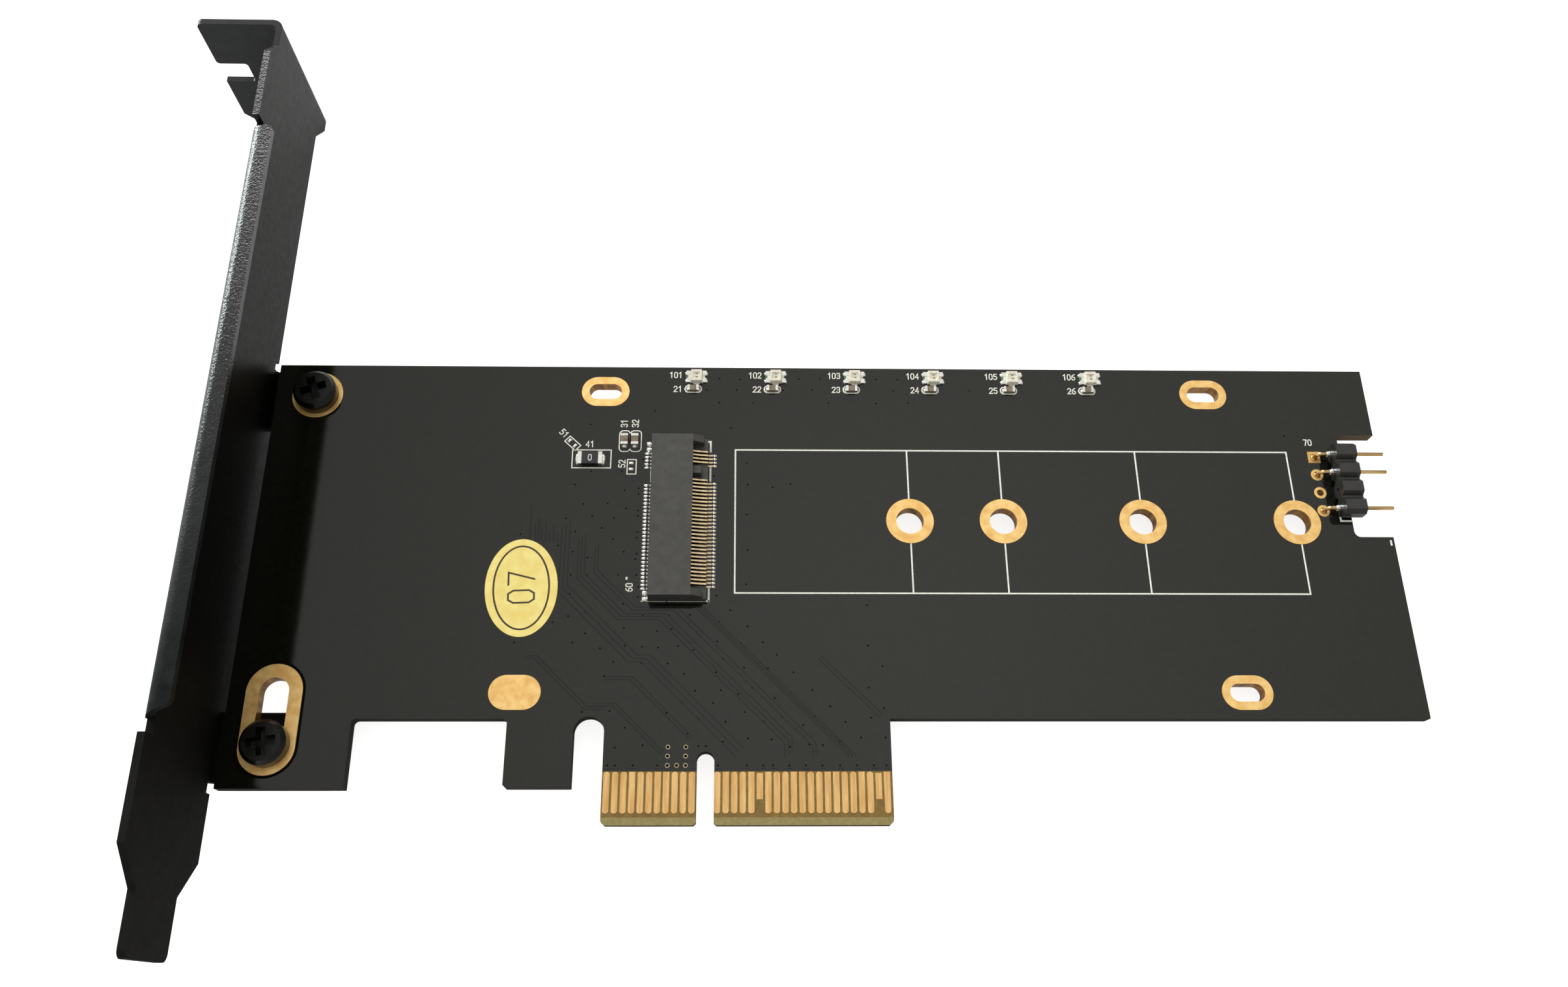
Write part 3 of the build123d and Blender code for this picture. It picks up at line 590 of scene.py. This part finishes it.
def mask_finish(name, tone):
    """The mask over a track, a little duller than on the plain board."""
    f = Finish(name, srgb(*tone), 0.12, Specular_IOR_Level=0.38)
    f.colour(f.mottle(f.noise(2000, 3), tone, [v + 6 for v in tone]))
    return f.bump(f.noise(1800, 3), 0.05, 0.0001)


def coat_finish():
    """Black powder coat on the bracket's flat faces, lightest at its two ends: painted light on the tongue
    and on the ear's face, painted shade on the plate beside the board.
    """
    f = Finish("bracket_black", srgb(12, 12, 12), 0.4, Specular_IOR_Level=0.09)
    y = f.axis("Y")
    tone = f.noise(600, 4)
    # painted light on the tongue below the board, and painted shade on the plate beside the board, where
    # the same coat is drawn near black
    tongue = f.mottle(tone, (20, 20, 18), (28, 27, 25))
    low = f.mix(f.spread(y, 0.015, 0.0), f.mottle(tone, (5, 5, 4), (10, 9, 8)), tongue)
    plate = f.mix(f.spread(y, 0.075, 0.1), low, f.mottle(tone, (24, 24, 25), (32, 31, 33)))
    # painted light: the ear's face, which faces along Y, is drawn lighter than the rest of the coat
    painted_light_ear = f.mottle(tone, (48, 49, 50), (56, 57, 59))
    f.colour(f.mix(f.maths("MULTIPLY", f.spread(y, 0.095, 0.1), f.facing("Y")), plate, painted_light_ear))
    grain = f.spread(f.noise(1200, 3), 0.3, 0.7, (-0.03, 0.06))
    f.rough(f.maths("ADD", grain, f.spread(y, 0.0, 0.055, (0.75, 0.35))))
    return f.bump(f.noise(3600, 3), 0.1, 0.00003)


def lip_finish():
    """The same coat on the folded lip and the cut edges: an orange peel, glossiest at the top."""
    f = Finish("lip_black", srgb(24, 27, 28), 0.18)
    y = f.axis("Y")
    f.join(f.spread(y, 0.012, 0.06, (0.06, 0.45)), f.shader.inputs["Specular IOR Level"])
    f.colour(f.mottle(f.noise(600, 4), (20, 22, 22), (32, 35, 36)))
    dull = f.spread(y, 0.012, 0.05, (0.3, 0))
    f.rough(f.maths("ADD", dull, f.spread(f.noise(2400, 3), 0.3, 0.7, (0.14, 0.24))))
    grain = f.maths("MULTIPLY", f.noise(3600, 3), f.spread(y, 0.01, 0.06, (0.3, 1)))
    return f.bump(grain, 0.5, 0.0002)


def screw_finish():
    """Black oxide, a little brighter where the driver has rubbed."""
    f = Finish("screw_black", srgb(12, 12, 12), 0.25, Specular_IOR_Level=0.35)
    f.colour(f.mottle(f.noise(1600, 4), (5, 5, 5), (24, 22, 20), 0.5, 0.8))
    return f.bump(f.noise(3000, 2), 0.2, 0.00004)


def gold_finish(name, light, dark, roughness, stretch=(1, 1, 1)):
    """Gold with soft mottling."""
    f = Finish(name, srgb(*light), roughness, 1.0)
    f.colour(f.mottle(f.noise(900, 4, stretch), light, dark, 0.35))
    f.rough(f.spread(f.noise(1500, 3, stretch), 0.3, 0.7, (roughness - 0.06, roughness + 0.1)))
    return f.bump(f.noise(2500, 2, stretch), 0.12, 0.00004)


def ring_finish():
    """Gold rings with small scratches, with painted shade down the walls of the holes."""
    f = Finish("ring_gold", srgb(250, 208, 132), 0.36, 0.65)
    scratches = f.maths("MULTIPLY", f.noise(6000, 2, (1, 0.15, 1)), 0.25)
    wear = f.maths("ADD", f.noise(900, 4), scratches)
    face = f.mottle(wear, (255, 214, 140), (236, 186, 108), 0.5, 0.8)
    # painted shade: the walls of the holes are drawn in a darker gold than the faces
    wall = f.mottle(f.noise(1500, 3, (1, 1, 0.3)), (196, 146, 82), (120, 82, 42))
    f.colour(f.mix(f.maths("LESS_THAN", f.facing("Z"), 0.5), face, wall))
    f.rough(f.spread(f.noise(1500, 3), 0.3, 0.7, (0.3, 0.45)))
    return f.bump(wear, 0.12, 0.00004)


def tin_finish(name, roughness=0.25):
    """Bright tin with soft ripples."""
    f = Finish(name, srgb(236, 236, 232), roughness, 1.0)
    f.colour(f.mottle(f.noise(2500, 3), (215, 215, 210), (244, 243, 238)))
    return f.bump(f.noise(3500, 2), 0.3, 0.00005)


def moulding_finish(name, tone, light, roughness):
    """Moulded plastic with a fine grain."""
    f = Finish(name, srgb(*tone), roughness)
    f.colour(f.mottle(f.noise(1000, 4), tone, light))
    f.rough(f.spread(f.noise(1500, 3), 0.3, 0.7, (roughness - 0.05, roughness + 0.08)))
    return f.bump(f.noise(3000, 2), 0.2, 0.00003)


def socket_contact_finish():
    """Gold on the springs, bright tin on the tails outside the housing."""
    f = Finish("socket_contact", srgb(232, 200, 150), 0.3, 1.0)
    x = f.axis("X")
    tail = f.maths("MAXIMUM", f.maths("LESS_THAN", x, SOCKET_BACK * MM),
                   f.maths("GREATER_THAN", x, SOCKET_TAILS * MM))
    gold = f.mottle(f.noise(2500, 3), (244, 224, 186), (206, 178, 134))
    f.colour(f.mix(tail, gold, srgb(240, 240, 235)))
    return f.bump(f.noise(3500, 2), 0.15, 0.00004)


def pin_finish():
    """Gold pins, with bright tin where they enter the body."""
    f = Finish("pin_gold", srgb(214, 180, 124), 0.25, 1.0)
    x = f.axis("X")
    collar = f.maths("MULTIPLY", f.maths("GREATER_THAN", x, COLLAR[0] * MM),
                     f.maths("LESS_THAN", x, COLLAR[1] * MM))
    gold = f.mottle(f.noise(900, 4, (0.3, 3, 3)), (216, 184, 130), (176, 140, 92), 0.35)
    f.colour(f.mix(collar, gold, srgb(240, 240, 236)))
    return f.bump(f.noise(2500, 2), 0.12, 0.00004)


def ink_finish():
    """White printed ink, a little uneven."""
    f = Finish("print_white", srgb(236, 236, 226), 0.55)
    f.colour(f.mottle(f.noise(2600, 3), (222, 222, 212), (244, 244, 236)))
    return f.bump(f.noise(4000, 2), 0.2, 0.00003)


def paper_finish():
    """Yellow label paper."""
    f = Finish("label_paper", srgb(244, 224, 130), 0.55)
    f.colour(f.mottle(f.noise(800, 4), (238, 214, 118), (250, 233, 146)))
    return f.bump(f.noise(2500, 3), 0.15, 0.00004)


def resin_finish():
    """White LED resin."""
    f = Finish("led_white", srgb(222, 218, 204), 0.3, Subsurface_Weight=0.3, Subsurface_Scale=0.0005)
    f.colour(f.mottle(f.noise(2500, 3), (208, 204, 188), (232, 229, 216)))
    return f.bump(f.noise(3500, 2), 0.15, 0.00003)


def ceramic_finish():
    """Brown fired ceramic."""
    f = Finish("capacitor_ceramic", srgb(118, 106, 88), 0.45)
    f.colour(f.mottle(f.noise(2500, 3), (98, 88, 72), (134, 120, 100)))
    return f.bump(f.noise(3500, 2), 0.2, 0.00003)


def plain_finish(name, tone, roughness, grain=(3000, 2), strength=0.1, distance=0.00003, **sockets):
    """One colour with a fine grain."""
    f = Finish(name, srgb(*tone), roughness, **sockets)
    return f.bump(f.noise(*grain), strength, distance)


# The CAD nodes, dressed by their slots in the record
finishes = {
    "solder_mask": board_finish(),
    "bracket_black": coat_finish(),
    "screw_black": screw_finish(),
    "contact_gold": gold_finish("contact_gold", (238, 198, 136), (216, 166, 104), 0.32, (3, 0.3, 1)),
    "pad_gold": gold_finish("pad_gold", (238, 196, 124), (222, 170, 98), 0.32),
    "pin_gold": pin_finish(),
    "solder": tin_finish("solder"),
    "chip_end": tin_finish("chip_end", 0.22),
    "socket_plastic": moulding_finish("socket_plastic", (54, 54, 52), (68, 67, 65), 0.42),
    "socket_contact": socket_contact_finish(),
    "header_plastic": moulding_finish("header_plastic", (34, 34, 33), (44, 43, 42), 0.25),
    "link_ceramic": moulding_finish("link_ceramic", (22, 24, 26), (34, 36, 38), 0.3),
    "label_paper": paper_finish(),
    "led_white": resin_finish(),
    "capacitor_ceramic": ceramic_finish()}
for entry in frame["record"]["subparts"]:
    for own in frame["nodes"][entry["node"]].material_slots:
        own.material = finishes[entry["material_slot"]].material


def dress(obj, finish):
    """Give a new piece its material."""
    obj.data.materials.append(finish.material)
    return obj


def on_lip(spot):
    """Whether a point lies on the bracket's folded lip, or on its cut edge above the lip."""
    lip = spot.z > 0.01585 and 0.0088 < spot.y < 0.0859
    edge = spot.z > 0.0172 and spot.y > 0.087
    return lip or edge


dress(skin("lip_coat", "bracket", on_lip, COAT), lip_finish())

# White printed lines, each group with its width
ink = ink_finish()
print_groups = {
    "print_drive_outline": (drive_outline(), INK_WIDTH), "print_socket_marks": (socket_marks(), 0.25),
    "print_chip_marks": (chip_marks(), 0.14), "print_capacitor_marks": (capacitor_marks(), 0.17),
    "print_header_marks": (header_marks(), 0.25), "print_numbers": (labels(), 0.13)}
for name, (lines, width) in print_groups.items():
    dress(strokes(name, lines, width, INK), ink)

# Tracks and vias
mask_over_copper = mask_finish("mask_over_copper", (16, 16, 13))
dress(strokes("tracks", track_lines(), 0.14, 0.02, ends=False), mask_over_copper)
dark_spots_and_shade = plain_finish("dark_via_mask_and_shade", (7, 7, 6), 0.8, (4000, 2), Specular_IOR_Level=0.05)
contact_vias = [(x, CONTACT_VIAS_Y) for x in CONTACT_VIAS]
dress(discs("covered_vias", list(COVERED_VIAS) + contact_vias, ((0.12, 0), (0.11, 0.01)), 8),
      dark_spots_and_shade)
rim = gold_finish("via_rim", (200, 186, 160), (150, 136, 110), 0.35)
dress(discs("open_via_rims", OPEN_VIAS, ((0.3, 0), (0.28, 0.03), (0.19, 0.03), (0.17, 0.012)), 12),
      rim)
# painted shade: a dark disc in each open via stands for the shade down its hole
dress(discs("open_via_hole_shade", OPEN_VIAS, ((0.18, 0.012), (0.17, 0.016)), 12), dark_spots_and_shade)

# The bare gap in the mask round the lower bracket pad
gap = [(SCREW_X + point.x, LONG_SLOT_Y + point.y) for point in slot_outline(13.85, 7.15, 90)]
dress(strokes("mask_gap", [gap + gap[:1]], 0.3, 0.006), dark_spots_and_shade)

# Snapped tabs along the board's top edge
nubs = [(x, TOP, 0.36, 0.16, 0.8, 0) for x in (-4.95, -0.2, 2.85, 11.35, 22.6)]
laminate_edge = plain_finish("laminate_edge", (150, 142, 124), 0.7, (3000, 3), 0.3, 0.00005)
dress(domes("edge_nubs", nubs, 0.0), laminate_edge)

# Gold rings and plating at the holes, smooth over the many-sided ones of the CAD
round_holes = [((x, DRIVE_CENTRE), (3.6, 3.6), (6.1, 6.1), 0) for x in DRIVE_HOLES]
round_holes.append(((SCREW_X, TOP_SCREW_Y), (3.6, 3.6), (6.6, 6.6), 0))
slots = [(centre, (4.35, 2.3), SINK_RING, 0) for centre in SINK_SLOTS]
slots.append(((SCREW_X, LONG_SLOT_Y), (10.2, 3.6), (13.45, 6.75), 90))
pin_holes = [((HEADER_X, HEADER_Y + PIN_PITCH * k), (0.96, 0.96), (1.6, 1.6), 0)
             for k in (-1.5, -0.5, 0.5)]
dress(linings("hole_rings", round_holes + slots + pin_holes), ring_finish())

# The same over the solid gold pad
pad = [(SOLID_PAD[0] + point.x, SOLID_PAD[1] + point.y) for point in slot_outline(*SINK_RING)]
corners = [(x * MM, y * MM, (FACE + z) * MM) for z in (0, COVER_LIFT) for x, y in pad]
count = len(pad)
walls = [(k, (k + 1) % count, count + (k + 1) % count, count + k) for k in range(count)]
cover = piece("pad_cover", corners, walls + [tuple(range(count, 2 * count))])
dress(cover, ring_finish())

# Solder on the socket's feet and hold-downs, at the chips' ends and round the LEDs' terminals
tin = tin_finish("solder_beads", 0.18)
lower_ys = [29.1 + SOCKET_PITCH * n for n in (*range(29), *range(33, 37))]
upper_ys = [28.85 + SOCKET_PITCH * n for n in (*range(29), *range(33, 38))]
beads = [(0.7, y, 0.34, 0.19, 0.22, 0) for y in lower_ys]
beads += [(-8.0, y, 0.5, 0.19, 0.25, 0) for y in upper_ys]
beads += [(-7.75, y, 0.55, 0.36, 0.32, 0) for y in (27.48, 28.28, 47.92, 48.72)]
beads += [(x, y, 0.42, 0.26, 0.3, 0) for x in (-11.07, -9.7) for y in (48.42, 49.98)]
beads += [(x, LINK[1], 0.34, 0.8, 0.28, 0) for x in (-17.1, -13.74)]
for x in CAPACITOR_XS:
    beads += [(x + a * 0.72, CAPACITOR_Y, 0.2, 0.33, 0.25, 0) for a in (-1, 1)]
for x in LED_XS:
    beads += [(x + a * 1.32, LED_Y + b * 0.55, 0.24, 0.3, 0.22, 0) for a in (-1, 1) for b in (-1, 1)]
for (x, y), turn in (((-18.2, 49.25), 47), ((-17.5, 48.5), 47), ((-10.1, 46.05), 0), ((-10.1, 45.2), 0)):
    beads.append((x, y, 0.29, 0.17, 0.1, turn))
dress(domes("solder_beads", beads), tin)

# Tin on the header's pins where they enter the body, and solder round their feet
pin_ys = [HEADER_Y + PIN_PITCH * k for k in PINNED]
collars = [(sum(COLLAR) / 2, y, 0.36, 0.38, 0.43, 0) for y in pin_ys]
dress(domes("collar_beads", collars, FACE + 1.05), tin)
pin_feet = [(HEADER_X, y, 0.44, 0.44, 0.2, 0) for y in pin_ys]
pin_solder = gold_finish("pin_solder", (222, 190, 128), (150, 118, 70), 0.25)
dress(domes("pin_feet", pin_feet, FACE - 0.05), pin_solder)

# The green resin in the notch at each LED's left end
notch = plain_finish("led_notch", (70, 128, 100), 0.3)
notches = [(x - 1.22, LED_Y, 0.2, 0.17, 0.3, 0) for x in LED_XS]
dress(domes("led_notches", notches), notch)

# The label's ring and number
LABEL_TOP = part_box("inspection_sticker")[1][2] / MM
label_ink = plain_finish("label_ink", (62, 50, 26), 0.5, strength=0.15)
label_lines = [oval_line(LABEL, 3.45, 5.45, LABEL_TURN)]
label_lines += number_lines("07", LABEL, 3.2, 90 + LABEL_TURN)
dress(strokes("label_print", label_lines, 0.24, 0.01, LABEL_TOP), label_ink)

# The number on the chip link
LINK_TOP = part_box("zero_ohm_link")[1][2] / MM
link_number = number_lines("0", LINK, DIGIT_HEIGHT)
dress(strokes("link_number", link_number, 0.1, 0.01, LINK_TOP), ink)

# The emitters in the LEDs' windows
LED_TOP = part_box("led_package_1")[1][2] / MM
LED_WINDOW = 0.1
chips = plain_finish("led_chip", (150, 128, 70), 0.3)
spots = []
for x in LED_XS:
    spots += [[(x - 0.02, y), (end, y)] for end, y in ((x + 0.1, 58.42), (x + 0.06, 58.88))]
dress(strokes("led_emitters", spots, 0.2, 0.03, LED_TOP - LED_WINDOW), chips)


FLOOR_REACH = 3.0
FLOOR_GLOW = 0.82
MIRRORED_GLOW = 0.31


def floor_finish():
    """A plain white floor that stays white to the camera and keeps the object's shadow."""
    f = Finish("floor_white", srgb(216, 216, 216), 0.9, Specular_IOR_Level=0.0)
    rays = f.node("LightPath")
    mirrored = f.maths("MAXIMUM", rays.outputs["Is Glossy Ray"], rays.outputs["Is Transmission Ray"])
    dimmed = f.maths("MULTIPLY", mirrored, MIRRORED_GLOW)
    seen = f.maths("MAXIMUM", rays.outputs["Is Camera Ray"], dimmed)
    glow = f.node("Emission")
    f.join(f.maths("MULTIPLY", seen, FLOOR_GLOW), glow.inputs["Strength"])
    total = f.node("AddShader")
    f.join(f.shader.outputs["BSDF"], total.inputs[0])
    f.join(glow.outputs["Emission"], total.inputs[1])
    f.join(total.outputs["Shader"], f.tree.nodes["Material Output"].inputs["Surface"])
    return f


floor_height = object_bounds()[0][2]
floor_mesh = bpy.data.meshes.new("floor")
quarters = ((-1, -1), (1, -1), (1, 1), (-1, 1))
floor_mesh.from_pydata([(x * FLOOR_REACH, y * FLOOR_REACH, floor_height) for x, y in quarters], [],
                       [(0, 1, 2, 3)])
floor = bpy.data.objects.new("floor", floor_mesh)
bpy.context.scene.collection.objects.link(floor)
floor_mesh.materials.append(floor_finish().material)

# White studio dome
world = bpy.data.worlds.new("studio")
bpy.context.scene.world = world
world.use_nodes = True
sky = world.node_tree.nodes["Background"]
sky.inputs["Color"].default_value = (1.0, 0.99, 0.94, 1)


def world_node(kind, **inputs):
    """A new node of the sky, with its inputs."""
    made = world.node_tree.nodes.new("ShaderNode" + kind)
    for label, value in inputs.items():
        made.inputs[label.replace("_", " ")].default_value = value
    return made


def world_math(operation, first, second):
    """A Math node on two values, each a number or another node's output."""
    made = world_node("Math")
    made.operation = operation
    for socket, value in zip(made.inputs, (first, second)):
        if isinstance(value, (int, float)):
            socket.default_value = value
        else:
            world.node_tree.links.new(value, socket)
    return made.outputs["Value"]


# Brighter above than low, brightest in a soft patch overhead, and lighter towards the left
PATCH_HEADING = (0.1, 0.3, 0.95)
PATCH_FALLOFF = 16.0
PATCH_STRENGTH = 0.4
heading = world_node("TexCoord")
split = world_node("SeparateXYZ")
above = world_node("MapRange", From_Min=0.0, From_Max=0.7, To_Min=0.3, To_Max=0.7)
sideways = world_node("MapRange", From_Min=-0.3, From_Max=-1.0, To_Min=0.0, To_Max=0.5)
near = world_node("VectorMath")
near.operation = "DOT_PRODUCT"
near.inputs[1].default_value = Vector(PATCH_HEADING).normalized()
for source, target in ((heading.outputs["Generated"], split.inputs["Vector"]),
                       (heading.outputs["Generated"], near.inputs[0]),
                       (split.outputs["Z"], above.inputs["Value"]),
                       (split.outputs["X"], sideways.inputs["Value"])):
    world.node_tree.links.new(source, target)
patch = world_math("POWER", world_math("MAXIMUM", near.outputs["Value"], 0.0), PATCH_FALLOFF)
total = world_math("ADD", world_math("ADD", above.outputs["Result"], sideways.outputs["Result"]),
                   world_math("MULTIPLY", patch, PATCH_STRENGTH))
world.node_tree.links.new(total, sky.inputs["Strength"])


def lamp(name, place, target, size, power, tint=(1, 1, 1)):
    """A rectangular soft lamp that points at a target."""
    light = bpy.data.lights.new(name, "AREA")
    light.shape = "RECTANGLE"
    light.size, light.size_y = size
    light.energy = power
    light.color = tint
    obj = bpy.data.objects.new(name, light)
    bpy.context.scene.collection.objects.link(obj)
    obj.location = place
    obj.rotation_euler = (Vector(target) - Vector(place)).to_track_quat("-Z", "Y").to_euler()


lamp("side_strip", place=(-0.55, 0.5, 0.1), target=(-0.058, 0.08, 0.017), size=(0.3, 0.08), power=4.0,
     tint=(0.9, 1.0, 1.0))
lamp("window", place=(-0.3, 1.0, 0.5), target=(0, 0.03, 0), size=(0.6, 0.3), power=8.0)

# Camera, as solved from the photograph: it looks down at the board from its lower edge
FOCAL_PIXELS = 1914.185
WIDTH_PIXELS, HEIGHT_PIXELS = 2408, 1515
CENTRE_PIXELS = (1183.573, 800.402)
SENSOR = 36.0
CAMERA_PLACE = (0.004451, -0.021440, 0.148164)
CAMERA_AXIS = (0.9983023, -0.0582031, -0.0022260)
CAMERA_TURN = 21.9907
NEAREST = 0.001
camera_data = bpy.data.cameras.new("camera")
camera = bpy.data.objects.new("camera", camera_data)
bpy.context.scene.collection.objects.link(camera)
camera_data.sensor_fit = "HORIZONTAL"
camera_data.sensor_width = SENSOR
camera_data.lens = SENSOR * FOCAL_PIXELS / WIDTH_PIXELS
camera_data.shift_x = (WIDTH_PIXELS / 2 - CENTRE_PIXELS[0]) / WIDTH_PIXELS
camera_data.shift_y = (CENTRE_PIXELS[1] - HEIGHT_PIXELS / 2) / WIDTH_PIXELS
camera_data.clip_start = NEAREST
turn = Matrix.Rotation(math.radians(CAMERA_TURN), 4, Vector(CAMERA_AXIS))
camera.matrix_world = Matrix.Translation(CAMERA_PLACE) @ turn
bpy.context.scene.camera = camera
bpy.context.scene.view_settings.view_transform = "Standard"
